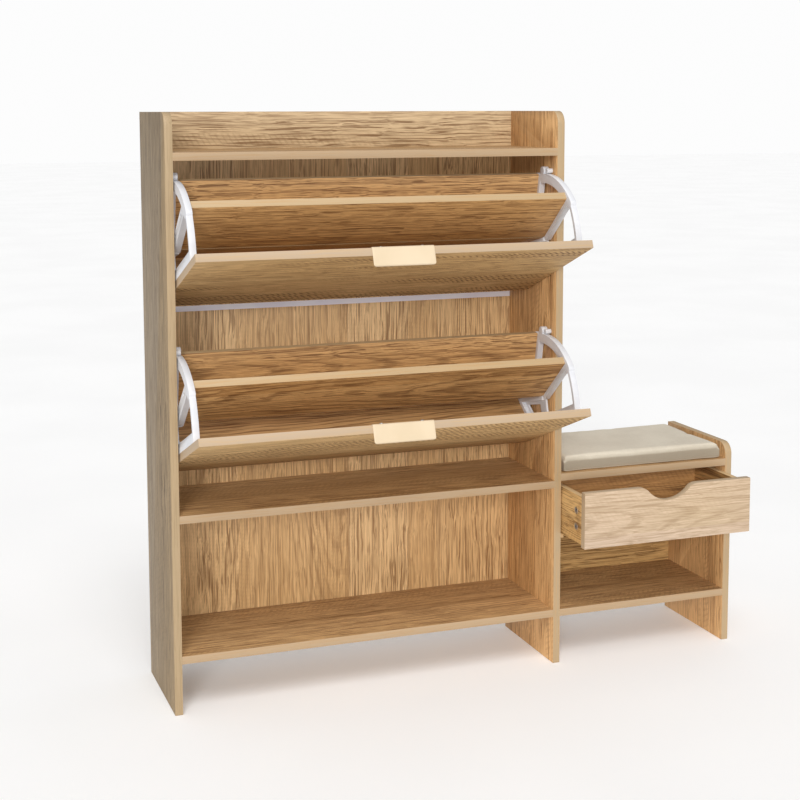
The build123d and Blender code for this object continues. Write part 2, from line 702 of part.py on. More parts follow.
def make_scoop():
    """The finger scoop in the drawer front's top edge: a round bowl that runs out in rounded rims."""
    centre = (DRAWER_LEFT + DRAWER_RIGHT) / 2
    half = SCOOP_WIDTH / 2
    turn = 2 * math.atan(SCOOP_DEPTH / half)

    def rim(share, side):
        """A point on the rounded rim, at a share of its turn, on the left (-1) or right (1)."""
        angle = turn * share
        return (
            centre + side * (half - SCOOP_ROUND * math.sin(angle)),
            DRAWER_TOP - SCOOP_ROUND * (1 - math.cos(angle)),
        )

    lines = [
        ThreePointArc(rim(0, -1), rim(0.5, -1), rim(1, -1)),
        ThreePointArc(rim(1, -1), (centre, DRAWER_TOP - SCOOP_DEPTH), rim(1, 1)),
        ThreePointArc(rim(1, 1), rim(0.5, 1), rim(0, 1)),
        Polyline(
            rim(0, 1), (centre + half, DRAWER_TOP + BOARD), (centre - half, DRAWER_TOP + BOARD), rim(0, -1)
        ),
    ]
    face = make_face([edge for line in lines for edge in line.edges()])
    return extrude(Plane.XZ * face, BOARD * 2, both=True)


def make_drawer():
    """The drawer's pieces in the closed place, with the front flush with the panels."""
    left, right = DRAWER_LEFT, DRAWER_RIGHT
    rear = DRAWER_REAR
    low, high = DRAWER_BOX_BASE, DRAWER_BOX_TOP
    bottom_z = low + DRAWER_BOTTOM_UP
    groove_in = GROOVE_DEPTH - GROOVE_SIDE_GAP
    groove = block(
        left + THIN_BOARD - GROOVE_DEPTH, right - THIN_BOARD + GROOVE_DEPTH,
        BOARD - GROOVE_DEPTH, rear - THIN_BOARD + GROOVE_DEPTH,
        bottom_z - SHEET_GAP, bottom_z + SHEET + SHEET_GAP,
    )
    bolt_heights = [low + (high - low) * share for share in THIRDS]
    bolts, cams, screws, holes = [], [], [], []
    for z in bolt_heights:
        for x, side in ((left, 1), (right, -1)):
            middle = x + side * THIN_BOARD / 2
            bolts.append(rod_y(middle, BOARD - SOCKET_DEPTH, BOARD + CAM_BACK, z, BOLT_NECK_RADIUS))
            holes.append(rod_y(middle, BOARD - SOCKET_DEPTH, BOARD, z, BOLT_NECK_RADIUS + HOLE_GAP))
            holes.append(rod_y(middle, BOARD, BOARD + CAM_BACK, z, BOLT_RADIUS))
            inner = x + side * (THIN_BOARD / 2 + BOLT_RADIUS + CAM_FLOOR)
            cam = rod_x(x, inner, BOARD + CAM_BACK, z, CAM_RADIUS - HOLE_GAP)
            cams.append(cam - rod_y(middle, BOARD, BOARD + CAM_BACK, z, BOLT_RADIUS))
            holes.append(rod_x(x - side * BOARD, inner, BOARD + CAM_BACK, z, CAM_RADIUS))
            seat = (x + side * SCREW_SINK, rear - THIN_BOARD / 2, z)
            screws.append(screw(seat, (side, 0), SCREW_LENGTH))
            holes.append(screw_hole(seat, (side, 0), SCREW_LENGTH))
    boards = {
        "drawer_front": block(left, right, 0, BOARD, DRAWER_BASE, DRAWER_TOP) - make_scoop(),
        "drawer_left_side": block(left, left + THIN_BOARD, BOARD, rear, low, high),
        "drawer_right_side": block(right - THIN_BOARD, right, BOARD, rear, low, high),
        "drawer_back": block(left + THIN_BOARD, right - THIN_BOARD, rear - THIN_BOARD, rear, low, high),
    }
    drawer = {name: cut(board, overlapping(board, holes + [groove])) for name, board in boards.items()}
    drawer["drawer_bottom"] = block(
        left + THIN_BOARD - groove_in, right - THIN_BOARD + groove_in,
        BOARD - groove_in, rear - THIN_BOARD + groove_in, bottom_z, bottom_z + SHEET,
    )
    drawer["drawer_bolts"] = Compound(children=bolts)
    drawer["drawer_cams"] = Compound(children=cams)
    drawer["drawer_screws"] = Compound(children=screws)
    return drawer


def make_runners():
    """Cleats on the panels that the drawer slides on, and their screws."""
    front = BOARD + RUNNER_SETBACK
    runners = {
        "left_drawer_runner": block(
            BENCH_LEFT, BENCH_LEFT + BOARD, front, BACK_FACE, RUNNER_TOP - RUNNER_HEIGHT, RUNNER_TOP
        ),
        "right_drawer_runner": block(
            BENCH_RIGHT - BOARD, BENCH_RIGHT, front, BACK_FACE, RUNNER_TOP - RUNNER_HEIGHT, RUNNER_TOP
        ),
    }
    screws, holes = [], []
    for share in RUNNER_SCREW_SHARES:
        y = front + (BACK_FACE - front) * share
        for x, side in ((BENCH_LEFT + BOARD, -1), (BENCH_RIGHT - BOARD, 1)):
            seat = (x + side * SCREW_SINK, y, RUNNER_TOP - RUNNER_HEIGHT / 2)
            length = BOARD - SCREW_SINK + SOCKET_DEPTH
            screws.append(screw(seat, (side, 0), length))
            holes.append(screw_hole(seat, (side, 0), length))
    cleats = {name: cut(runner, overlapping(runner, holes)) for name, runner in runners.items()}
    cleats["runner_screws"] = Compound(children=screws)
    return cleats, holes


def make_cushion():
    seat = SEAT_LEVEL + BOARD
    cushion = block(
        BENCH_LEFT + CUSHION_SIDE_GAP, BENCH_RIGHT - CUSHION_SIDE_GAP, 0, DEPTH - CUSHION_BACK_GAP,
        seat, seat + CUSHION_THICK,
    )
    top_edges = cushion.faces().sort_by(Axis.Z)[-1].edges()
    return fillet(top_edges, CUSHION_ROUND)


# ---------------------------------------------------------------- the whole cabinet

def make_cabinet():
    bolts, cams, dowels, joint_holes = make_fixings()
    pins, pegs, pivot_holes = make_pivots()
    runners, runner_holes = make_runners()
    grooves = [tall_grooves(), bench_grooves()]
    pieces = make_panels(joint_holes + pivot_holes + runner_holes + grooves)
    pieces.update(make_boards(joint_holes + grooves))
    pieces.update(make_back())
    pieces.update(runners)
    pieces["seat_cushion"] = make_cushion()
    pieces["cam_bolts"] = bolts
    pieces["cam_locks"] = cams
    pieces["dowels"] = dowels
    pieces["pivot_pins"] = pins
    pieces["stop_pegs"] = pegs
    unit = make_flip_unit()
    for place, base in (("upper", UPPER_UNIT_BASE), ("lower", LOWER_UNIT_BASE)):
        for name, piece in unit.items():
            pieces[place + "_" + name] = tipped_open(piece, base)
    for name, piece in make_drawer().items():
        pieces[name] = Pos(0, -DRAWER_OUT, 0) * piece
    return pieces


def bottom_centre(pieces):
    boxes = [piece.bounding_box() for piece in pieces.values()]
    middle_x = (min(box.min.X for box in boxes) + max(box.max.X for box in boxes)) / 2
    middle_y = (min(box.min.Y for box in boxes) + max(box.max.Y for box in boxes)) / 2
    return (middle_x, middle_y, min(box.min.Z for box in boxes))


cabinet = make_cabinet()
ORIGIN = bottom_centre(cabinet)

os.makedirs("parts", exist_ok=True)
for name, piece in cabinet.items():
    solids = [Pos(-ORIGIN[0], -ORIGIN[1], -ORIGIN[2]) * solid for solid in piece.solids()]
    node = Compound(solids) if len(solids) > 1 else solids[0]
    export_step(node, os.path.join("parts", name + ".step"))
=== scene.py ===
import json
import math

import bmesh
import bpy
import numpy as np
from mathutils import Matrix, Vector


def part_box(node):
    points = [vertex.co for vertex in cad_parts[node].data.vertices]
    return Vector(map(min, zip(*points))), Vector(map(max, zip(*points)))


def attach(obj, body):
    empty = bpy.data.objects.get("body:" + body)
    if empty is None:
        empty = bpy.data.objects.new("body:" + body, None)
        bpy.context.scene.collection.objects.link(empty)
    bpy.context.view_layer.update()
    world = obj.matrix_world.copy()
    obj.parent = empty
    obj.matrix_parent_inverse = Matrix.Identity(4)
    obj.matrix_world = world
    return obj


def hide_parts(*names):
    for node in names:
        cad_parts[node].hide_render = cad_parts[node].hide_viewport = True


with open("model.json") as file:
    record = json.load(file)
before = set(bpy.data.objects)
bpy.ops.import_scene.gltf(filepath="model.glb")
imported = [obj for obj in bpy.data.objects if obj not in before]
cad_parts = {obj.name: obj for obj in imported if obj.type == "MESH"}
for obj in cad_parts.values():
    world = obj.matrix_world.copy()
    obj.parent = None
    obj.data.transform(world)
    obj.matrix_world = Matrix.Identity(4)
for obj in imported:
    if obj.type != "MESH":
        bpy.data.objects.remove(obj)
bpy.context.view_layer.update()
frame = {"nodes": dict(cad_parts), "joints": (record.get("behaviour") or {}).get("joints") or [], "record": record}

# The looks of a shoe cabinet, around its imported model. Metres, in the model's own frame.
#
# Boards get rounded edges and printed oak, the side frames get soft moulded edges, the pulls are
# bent plates, the screws and cam discs get recessed heads, and the cushion is a swollen pad.

UNITS = ("upper", "lower")
SIDEWAYS, BACKWARDS, UPRIGHT = range(3)
WHITE = (1, 1, 1, 1)

# Meshes and their edges
WELD = 1e-5
FLAT_ANGLE = math.radians(0.5)
BOARD_EDGE = 0.0007
SHEET_EDGE = 0.0003
FRAME_EDGE = 0.0008
THIN_BOARD = 0.005
EDGE_ANGLE = math.radians(40)
EDGE_SEGMENTS = 2
BAND_FACING = 0.8

# Printed oak. A stretch is how fast a pattern changes along the grain and across it, a range is
# where a layer starts to show and where it is full, and a share is how much a full layer covers.
WANDER_STRETCH = (8.0, 18.0)
WANDER_REACH = 0.010
RING_STRETCH = (0.6, 8.0)
RING_COUNT = 210.0
RING_STRIPS = (0.45, 0.65)
RING_RANGE = (0.55, 0.95)
RING_SHARE = 0.40
RING_PULL = 0.05
FIBRE_STRETCH = (22.0, 950.0)
FIBRE_RANGE = (0.45, 0.65)
FIBRE_SHARE = 0.3
PORE_STRETCH = (8.0, 520.0)
PORE_RANGE = (0.50, 0.61)
PORE_STRIPS = (0.1, 0.8, 0.45, 1.0)
PORE_GLOSS = (0.3, 0.7, 0.46, 0.60)
PORE_DEPTH = 0.7
GLINT_STRETCH = (7.0, 440.0)
GLINT_RANGE = (0.5, 0.62)
GLINT_SHARE = 0.36
GLINT_LIFT = 1.3
STREAK_STRETCH = (1.4, 150.0)
STREAK_RANGE = (0.5, 0.68)
STREAK_SHARE = 0.55
CLOUD_STRETCH = (2.0, 6.0)
STRIP_WEIGHT = 0.6
CLOUD_WEIGHT = 0.55
TONE_RANGE = (0.2, 1.0)
PATCH_STRETCH = (1.3, 10.0)
PATCH_RANGE = (0.49, 0.58)
DASH_LEAN = 0.7
DASH_WOBBLE = 3.0
DASH_UNEVEN = 2.5
DASH_RANGE = (0.15, 0.5)
DASH_SHARE = 0.72
EDGE_PORE_RANGE = (0.46, 0.66)
EDGE_PORE_SHARE = 0.35

# Woven cloth
THREAD_WIDTH = 0.0016
THREAD_BEND = 0.0006
SLUB_STRETCH = (55.0, 700.0, 700.0)
CROSS_SLUB_STRETCH = (700.0, 55.0, 55.0)
SLUB_RANGE = (0.5, 0.75)
SLUB_DEPTH = 0.8
# How much painted shade darkens the cushion's side walls.
PAINTED_SHADE_SHARE = 0.75

# Pulls
PULL_THICK = 0.0018
PULL_BEND = 0.0035
PULL_CORNER = 0.008
PULL_LIP_DROP = PULL_THICK * 1.6
PULL_EDGE = PULL_THICK * 0.3
PULL_EDGE_ANGLE = math.radians(50)
PULL_SHARP_ANGLE = math.radians(35)
PULL_COLUMNS = 24
PULL_TOP_SHARES = (0.12, 0.3, 0.5, 0.75)
BEND_STEPS = 6

# Screw heads and cam discs
HEAD_SIDES = 28
HEAD_DOME = 0.35
HEAD_WIDE = 0.9
HEAD_SHARP_ANGLE = math.radians(30)
HEAD_SEED = 7
DOME_LEAN = 1.2
DISC_DOME = 0.05
DISC_RECESS_WIDTH = 0.2
RECESS_SPAN = 0.62
RECESS_WIDTH = 0.17
RECESS_DEPTH = 1.1

# Cushion
CUSHION_INSET = 0.003
CUSHION_ROUND = 0.011
CUSHION_FOOT_ROUND = 0.003
WALL_SLOPE = (0.25, 0.8)
CUSHION_VOXEL = 0.005
CUSHION_PRESSURE = 4.0
CUSHION_QUALITY = 6
CUSHION_FRAMES = 20
CUSHION_CAP = 0.006

# Camera and studio
CAMERA_PLACE = (-1.1395, -2.7505, 1.1355)
CAMERA_TURN = (83.53, 0.12, -20.06)
CAMERA_LENS = 68.07
CAMERA_SENSOR = 36.0
CAMERA_SHIFT = -0.15
CAMERA_REACH = 100.0
FLOOR_SIZE = 60.0
FLOOR_DROP = 0.0005
ROOM_SEEN = 0.98
ROOM_LIGHT = 0.43
SUN_DISTANCE = 4.0


# ---------------------------------------------------------------- node building

def set_socket(tree, socket, value):
    if isinstance(value, bpy.types.NodeSocket):
        tree.links.new(value, socket)
    else:
        socket.default_value = value


def add_node(tree, kind, inputs=None, **settings):
    """A node; its inputs are numbers, colours or other nodes' outputs, by name or place."""
    made = tree.nodes.new(kind)
    for key, value in settings.items():
        setattr(made, key, value)
    for key, value in (inputs or {}).items():
        set_socket(tree, made.inputs[key], value)
    return made


def maths(tree, operation, first, second=0.0):
    return add_node(tree, "ShaderNodeMath", {0: first, 1: second}, operation=operation).outputs[0]


def plus(tree, first, second):
    return maths(tree, "ADD", first, second)


def minus(tree, first, second):
    return maths(tree, "SUBTRACT", first, second)


def times(tree, first, second):
    return maths(tree, "MULTIPLY", first, second)


def wave(tree, value, rate):
    """A sine that runs at a rate, in radians for each metre."""
    return maths(tree, "SINE", times(tree, value, rate))


def combine(tree, x, y, z):
    return add_node(tree, "ShaderNodeCombineXYZ", {"X": x, "Y": y, "Z": z}).outputs[0]


def object_place(tree):
    return add_node(tree, "ShaderNodeTexCoord").outputs["Object"]


def split(tree, vector):
    return add_node(tree, "ShaderNodeSeparateXYZ", {"Vector": vector}).outputs


def mark(tree, name):
    """A value that a mesh carries for its faces or points."""
    return add_node(tree, "ShaderNodeAttribute", attribute_name=name).outputs["Fac"]


def noise(tree, vector, scale=1.0, detail=2.0, roughness=0.5, distortion=0.0):
    made = add_node(tree, "ShaderNodeTexNoise", {
        "Vector": vector, "Scale": scale, "Detail": detail, "Roughness": roughness, "Distortion": distortion,
    })
    return made.outputs["Fac"]


def stretched_noise(tree, place, stretch, detail=2.0, roughness=0.5, distortion=0.0):
    """Noise with its own scale along each axis."""
    vector = add_node(tree, "ShaderNodeVectorMath", {0: place, 1: stretch}, operation="MULTIPLY").outputs[0]
    return noise(tree, vector, detail=detail, roughness=roughness, distortion=distortion)


def spread(tree, value, low, high, to_low=0.0, to_high=1.0):
    """A value stretched from one range to another, smoothly and within it."""
    made = add_node(tree, "ShaderNodeMapRange", {
        "Value": value, "From Min": low, "From Max": high, "To Min": to_low, "To Max": to_high,
    }, interpolation_type="SMOOTHSTEP", clamp=True)
    return made.outputs["Result"]


def blend_colours(tree, share, first, second):
    made = add_node(tree, "ShaderNodeMix", data_type="RGBA", clamp_result=True)
    set_socket(tree, made.inputs["Factor"], share)
    set_socket(tree, made.inputs[6], first)
    set_socket(tree, made.inputs[7], second)
    return made.outputs[2]


def layer(tree, base, mask, share, tint):
    """A colour laid over a base where a mask shows it, by a share."""
    return blend_colours(tree, times(tree, mask, share), base, tint)


def colour(red, green, blue):
    """A colour given as it is seen on a screen, from 0 to 255, as the shader needs it."""
    def linear(value):
        share = value / 255
        return share / 12.92 if share <= 0.04045 else ((share + 0.055) / 1.055) ** 2.4
    return (linear(red), linear(green), linear(blue), 1.0)


def new_material(name):
    material = bpy.data.materials.new(name)
    material.use_nodes = True
    material.node_tree.nodes.clear()
    return material, material.node_tree


def finish_material(tree, base, roughness, height=None, strength=0.3, distance=0.0005, shader=None):
    """The surface shader and its output, with a bump from a height."""
    inputs = {"Base Color": base, "Roughness": roughness, **(shader or {})}
    if height is not None:
        bump = add_node(tree, "ShaderNodeBump", {
            "Strength": strength, "Distance": distance, "Height": height,
        })
        inputs["Normal"] = bump.outputs[0]
    surface = add_node(tree, "ShaderNodeBsdfPrincipled", inputs)
    add_node(tree, "ShaderNodeOutputMaterial", {"Surface": surface.outputs[0]})


# ---------------------------------------------------------------- oak

def grain_noise(tree, grid, stretch, detail=2.0, roughness=0.5):
    """Noise that changes slowly along the grain and fast across it."""
    along, first, second = grid
    shrink, grow = stretch
    vector = combine(tree, times(tree, along, shrink), times(tree, first, grow), times(tree, second, grow))
    return noise(tree, vector, detail=detail, roughness=roughness)


def grain_grid(tree, grain, shift):
    """Where a point is along the grain and both ways across it, the swayed place, and its sway."""
    axes = split(tree, object_place(tree))
    along = plus(tree, axes[grain], shift)
    first, second = [axes[i] for i in range(3) if i != grain]
    wander = grain_noise(tree, (along, first, second), WANDER_STRETCH)
    sway = times(tree, minus(tree, wander, 0.5), WANDER_REACH)
    swayed = (along, plus(tree, first, sway), plus(tree, second, sway))
    return (first, second), swayed, sway


def strip_tones(tree, straight, strip):
    """Three values of its own for each strip of the board."""
    strips = add_node(tree, "ShaderNodeTexVoronoi", {
        "Vector": combine(tree, *straight, 0.0), "Scale": strip, "Randomness": 1.0,
    }, voronoi_dimensions="2D", feature="F1")
    return add_node(tree, "ShaderNodeSeparateColor", {"Color": strips.outputs["Color"]}).outputs


def sawn_dashes(tree, grid, sway, glints, dash):
    """Staggered rows of short dashes, in long patches, turned a little by the wander of the grain."""
    along, first, second = grid
    steps_rate, rows_rate = dash
    across = minus(tree, second, first)
    drift = plus(tree, times(tree, across, DASH_LEAN), times(tree, sway, DASH_WOBBLE))
    rows = wave(tree, across, rows_rate)
    steps = wave(tree, plus(tree, along, drift), steps_rate)
    uneven = times(tree, minus(tree, glints, 0.5), DASH_UNEVEN)
    dashes = plus(tree, times(tree, rows, steps), uneven)
    patch = grain_noise(tree, grid, PATCH_STRETCH)
    return times(tree, spread(tree, dashes, *DASH_RANGE), spread(tree, patch, *PATCH_RANGE))


def printed_oak(name, grain, tones, streaks=1.0, arches=0.6, ripples=0.6, strip=11.0,
                dash=(520.0, 105.0), shift=0.0):
    """Printed oak: strips of differing tone, wavy pores, arched rings and sawn dashes.

    Grain is the axis that the pores run along. Tones are the colours of the pale wood, of the
    strips, of the pores and of the edge band. Streaks, arches and ripples say how strong the dark
    lines, the rings and the dashes are. Strip is how many strips there are in a metre, dash is how
    fast the dashes repeat along and across the grain, and shift moves the figure along it."""
    material, tree = new_material(name)
    light, middle, dark, edge = [colour(*tone) for tone in tones]
    bright = tuple(min(1.0, part * GLINT_LIFT) for part in light)
    straight, grid, sway = grain_grid(tree, grain, shift)
    strip_tone = strip_tones(tree, straight, strip)

    ring_lines = wave(tree, grain_noise(tree, grid, RING_STRETCH, detail=0.0), RING_COUNT)
    ring_mask = times(tree, spread(tree, strip_tone[1], *RING_STRIPS), arches)
    pull_to_rings = times(tree, times(tree, ring_lines, ring_mask), RING_PULL)
    fibres = grain_noise(tree, grid, FIBRE_STRETCH, roughness=0.6)
    pores = plus(tree, grain_noise(tree, grid, PORE_STRETCH, roughness=0.6), pull_to_rings)
    glints = grain_noise(tree, grid, GLINT_STRETCH, roughness=0.6)
    bands = grain_noise(tree, grid, STREAK_STRETCH, detail=3.0, roughness=0.65)
    clouds = grain_noise(tree, grid, CLOUD_STRETCH)
    dashes = sawn_dashes(tree, grid, sway, glints, dash)
    lined = times(tree, spread(tree, strip_tone[2], *PORE_STRIPS), streaks)
    tone = plus(tree, times(tree, strip_tone[0], STRIP_WEIGHT), times(tree, clouds, CLOUD_WEIGHT))

    base = blend_colours(tree, spread(tree, tone, *TONE_RANGE), light, middle)
    base = layer(tree, base, spread(tree, glints, *GLINT_RANGE), GLINT_SHARE, bright)
    base = layer(tree, base, spread(tree, bands, *STREAK_RANGE), STREAK_SHARE * streaks, dark)
    base = layer(tree, base, spread(tree, pores, *PORE_RANGE), lined, dark)
    base = layer(tree, base, spread(tree, ring_lines, *RING_RANGE), times(tree, ring_mask, RING_SHARE), dark)
    base = layer(tree, base, dashes, DASH_SHARE * ripples, dark)
    base = layer(tree, base, spread(tree, fibres, *FIBRE_RANGE), FIBRE_SHARE, dark)
    banded = layer(tree, edge, spread(tree, pores, *EDGE_PORE_RANGE), EDGE_PORE_SHARE, middle)
    base = blend_colours(tree, mark(tree, "edge_band"), base, banded)

    height = minus(tree, 1.0, plus(tree, times(tree, pores, PORE_DEPTH), fibres))
    finish_material(tree, base, spread(tree, pores, *PORE_GLOSS), height, strength=0.35, distance=0.0004)
    return material


def beech(name):
    """Plain turned beech: pale, with fine short flecks."""
    material, tree = new_material(name)
    flecks = stretched_noise(tree, object_place(tree), (60.0, 900.0, 900.0))
    base = blend_colours(tree, spread(tree, flecks, 0.45, 0.7), colour(214, 178, 132), colour(176, 132, 88))
    finish_material(tree, base, 0.55, flecks, strength=0.3, distance=0.0002)
    return material


# ---------------------------------------------------------------- plastic, metal and cloth

def moulded_plastic(name, pale, shade, roughness, grain=0.12):
    """Moulded plastic: slow colour drift, flow marks, and a fine spark-eroded grain."""
    material, tree = new_material(name)
    place = object_place(tree)
    drift = noise(tree, place, scale=14.0, detail=3.0)
    speckle = noise(tree, place, scale=2600.0, detail=1.0)
    flow = stretched_noise(tree, place, (40.0, 160.0, 160.0), distortion=0.8)
    base = blend_colours(tree, spread(tree, drift, 0.35, 0.7), colour(*pale), colour(*shade))
    gloss = spread(tree, flow, 0.3, 0.7, roughness - 0.05, roughness + 0.08)
    finish_material(tree, base, gloss, plus(tree, speckle, flow), strength=grain, distance=0.0002)
    return material


def zinc(name):
    """Zinc plate: fine brushed scratches and faint cloudy passivation."""
    material, tree = new_material(name)
    place = object_place(tree)
    clouds = noise(tree, place, scale=170.0, detail=3.0)
    scratches = stretched_noise(tree, place, (900.0, 3200.0, 900.0))
    base = blend_colours(tree, spread(tree, clouds, 0.3, 0.7), colour(205, 206, 208), colour(168, 170, 176))
    gloss = spread(tree, scratches, 0.3, 0.7, 0.28, 0.46)
    finish_material(tree, base, gloss, scratches, strength=0.15, distance=0.0001, shader={"Metallic": 1.0})
    return material


def plain_weave(tree, place):
    """Crossed threads, a little bent, from 0 in the gaps to 1 on the crossings."""
    axes = split(tree, place)
    bend = times(tree, noise(tree, place, scale=60.0), THREAD_BEND)
    rate = math.tau / THREAD_WIDTH
    warp = wave(tree, plus(tree, axes[0], bend), rate)
    weft = wave(tree, plus(tree, plus(tree, axes[1], axes[2]), bend), rate)
    return plus(tree, times(tree, times(tree, warp, weft), 0.25), 0.5)


def woven_cloth(name):
    """Plain woven cloth: crossed threads, slubs, painted shade on the side walls, and a soft worn sheen."""
    material, tree = new_material(name)
    place = object_place(tree)
    weave = plain_weave(tree, place)
    slubs = stretched_noise(tree, place, SLUB_STRETCH, detail=3.0, roughness=0.6)
    cross_slubs = stretched_noise(tree, place, CROSS_SLUB_STRETCH, detail=3.0, roughness=0.6)
    wear = noise(tree, place, scale=11.0, detail=3.0)
    base = blend_colours(tree, spread(tree, wear, 0.3, 0.75), colour(214, 205, 187), colour(203, 193, 175))
    base = layer(tree, base, spread(tree, slubs, *SLUB_RANGE), 0.35, colour(171, 158, 138))
    base = layer(tree, base, spread(tree, cross_slubs, *SLUB_RANGE), 0.30, colour(228, 221, 205))
    base = layer(tree, base, weave, 0.25, colour(160, 148, 130))
    # Painted shade: the pad's side walls are darkened, as though turned from the light.
    base = layer(tree, base, mark(tree, "side_wall"), PAINTED_SHADE_SHARE, colour(128, 114, 94))
    height = plus(tree, weave, times(tree, slubs, SLUB_DEPTH))
    finish_material(tree, base, 0.86, height, strength=0.5, distance=0.0005, shader={
        "Sheen Weight": 0.12, "Sheen Roughness": 0.5, "Specular IOR Level": 0.15,
    })
    return material


SIDE_OAK = printed_oak(
    "side_oak", UPRIGHT, ((222, 178, 124), (198, 152, 98), (140, 96, 52), (174, 150, 116)),
    streaks=0.85, arches=0.7, ripples=0.3, strip=13.0)
# Painted shade: a darker, greyer copy of the side oak for the left side panel, whose outer face is in shade.
SHADED_SIDE_OAK = printed_oak(
    "outer_side_oak", UPRIGHT, ((162, 138, 103), (136, 114, 80), (84, 64, 38), (172, 148, 114)),
    streaks=0.95, arches=0.4, ripples=0.2, strip=16.0)
SHELF_OAK = printed_oak(
    "shelf_oak", SIDEWAYS, ((198, 160, 112), (172, 134, 88), (112, 76, 42), (174, 148, 116)),
    streaks=0.85, arches=0.5, ripples=0.35)
GALLERY_OAK = printed_oak(
    "gallery_oak", SIDEWAYS, ((200, 174, 136), (180, 150, 112), (118, 86, 52), (168, 144, 114)),
    streaks=0.9, arches=0.5, ripples=0.3, shift=2.3)
DOOR_OAK = printed_oak(
    "door_oak", SIDEWAYS, ((214, 180, 128), (194, 158, 108), (104, 70, 34), (180, 157, 130)),
    streaks=0.75, arches=0.4, ripples=1.3, strip=10.0, shift=0.55)
DIVIDER_OAK = printed_oak(
    "divider_oak", SIDEWAYS, ((212, 168, 112), (186, 140, 86), (108, 70, 34), (184, 158, 120)),
    streaks=0.85, arches=0.9, ripples=0.08, strip=12.0, shift=1.7)
DRAWER_FRONT_OAK = printed_oak(
    "drawer_front_oak", SIDEWAYS, ((198, 174, 150), (180, 156, 116), (140, 112, 78), (178, 156, 128)),
    streaks=0.45, arches=0.9, ripples=0.1, strip=10.0, shift=0.4)
DRAWER_BOX_OAK = printed_oak(
    "drawer_box_oak", BACKWARDS, ((218, 180, 122), (196, 154, 96), (120, 84, 44), (200, 170, 126)),
    streaks=0.8, ripples=0.3, strip=12.0)
DRAWER_BACK_OAK = printed_oak(
    "drawer_back_oak", SIDEWAYS, ((200, 154, 98), (176, 130, 78), (118, 82, 46), (200, 166, 118)),
    streaks=0.8, ripples=0.3, strip=12.0)
BACK_SHEET = printed_oak(
    "back_sheet", UPRIGHT, ((228, 191, 140), (206, 165, 112), (130, 92, 52), (196, 160, 110)),
    streaks=0.85, ripples=0.12, strip=12.0, dash=(700.0, 560.0), shift=0.8)
BENCH_SHEET = printed_oak(
    "bench_sheet", SIDEWAYS, ((214, 176, 120), (190, 150, 92), (114, 80, 40), (196, 160, 110)),
    streaks=0.9, arches=1.0, ripples=0.1, strip=12.0)
RUNNER_WOOD = printed_oak(
    "runner_wood", BACKWARDS, ((196, 158, 108), (172, 134, 86), (122, 88, 52), (200, 166, 118)),
    streaks=0.8, arches=0.2, ripples=0.1)
BEECH = beech("dowel_beech")
STRIP_PLASTIC = moulded_plastic("joint_strip", (244, 242, 248), (234, 231, 242), roughness=0.42)
WHITE_PLASTIC = moulded_plastic("white_plastic", (218, 218, 221), (208, 209, 213), roughness=0.38)
PULL_CREAM = moulded_plastic("pull_cream", (216, 196, 166), (210, 190, 159), roughness=0.40, grain=0.05)
ZINC = zinc("fastener_steel")
CLOTH = woven_cloth("cushion_fabric")


# ---------------------------------------------------------------- meshes and frames of reference

def turned(joint, degrees):
    """The matrix that turns points about a hinge by an angle."""
    pivot = Vector(joint["pos_m"])
    turn = Matrix.Rotation(math.radians(degrees), 4, Vector(joint["axis"]))
    return Matrix.Translation(pivot) @ turn @ Matrix.Translation(-pivot)


JOINTS = {joint["name"]: joint for joint in frame["joints"]}
CLOSING = {unit: turned(JOINTS[f"{unit}_flip"], JOINTS[f"{unit}_flip"]["range_deg"][0]) for unit in UNITS}
BODY_OF = {node: body for body, nodes in frame["record"]["behaviour"]["bodies"].items() for node in nodes}
SLOT_OF = {part["node"]: part["material_slot"] for part in frame["record"]["subparts"]}


def merged_copy(node):
    """A closed mesh of a CAD node, as one that can be edited."""
    edit = bmesh.new()
    edit.from_mesh(frame["nodes"][node].data)
    bmesh.ops.remove_doubles(edit, verts=edit.verts, dist=WELD)
    bmesh.ops.dissolve_limit(
        edit, angle_limit=FLAT_ANGLE, verts=edit.verts, edges=edit.edges, delimit={"SHARP"})
    return edit


def to_object(edit, name, material):
    mesh = bpy.data.meshes.new(name)
    edit.to_mesh(mesh)
    edit.free()
    mesh.materials.append(material)
    piece = bpy.data.objects.new(name, mesh)
    bpy.context.scene.collection.objects.link(piece)
    return piece


def apply_modifiers(piece):
    """Turns what a piece's modifiers make into its own plain mesh."""
    graph = bpy.context.evaluated_depsgraph_get()
    mesh = bpy.data.meshes.new_from_object(piece.evaluated_get(graph), depsgraph=graph)
    piece.modifiers.clear()
    piece.data = mesh


def round_edges(piece, width, segments, angle, harden=False):
    """A bevel on every edge that is sharper than an angle."""
    bevel = piece.modifiers.new("edges", "BEVEL")
    bevel.width = width
    bevel.segments = segments
    bevel.limit_method = "ANGLE"
    bevel.angle_limit = angle
    bevel.harden_normals = harden


def settle(piece, body, slot, *nodes):
    """Puts a finished piece on its body and in place of its CAD nodes. Its slot is not used."""
    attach(piece, body)
    if nodes:
        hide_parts(*nodes)


def facing_key(face):
    return tuple(round(abs(value), 1) for value in face.normal)


def main_direction(mesh):
    """The direction that most of a board's surface faces."""
    areas = {}
    for face in mesh.polygons:
        key = facing_key(face)
        areas[key] = areas.get(key, 0.0) + face.area
    widest = max(areas, key=areas.get)
    faces = [face for face in mesh.polygons if facing_key(face) == widest]
    return max(faces, key=lambda face: face.area).normal.copy()


def mark_edge_band(mesh):
    """Tells the oak which faces are a board's narrow, banded edges."""
    direction = main_direction(mesh)
    banded = [float(abs(face.normal.dot(direction)) < BAND_FACING) for face in mesh.polygons]
    band = mesh.attributes.new("edge_band", "FLOAT", "FACE")
    band.data.foreach_set("value", banded)


